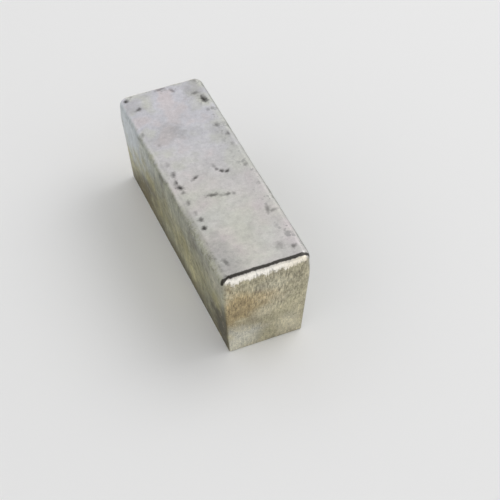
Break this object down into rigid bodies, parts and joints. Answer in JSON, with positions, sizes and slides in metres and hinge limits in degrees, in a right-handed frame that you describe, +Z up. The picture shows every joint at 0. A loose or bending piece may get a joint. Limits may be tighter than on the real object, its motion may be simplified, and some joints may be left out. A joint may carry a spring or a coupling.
{
  "type": "magnesium ingot",
  "caption": "One-piece cast magnesium ingot: a long block with drafted walls, wider at the top than at the foot, with rounded corners and rim, for stacking and remelting.",
  "frame": {"origin": "centre of the foot face, on the floor", "axes": "+Z up, +Y along the length, +X across the width"},
  "size_m": [0.109, 0.343, 0.128],
  "materials": {
    "cast_magnesium": "as cast: satin grey top skin with small pits, and streaked olive and brown oxide on the mould walls"
  },
  "bodies": {
    "root": {"ingot": "cast_magnesium"}
  },
  "joints": []
}
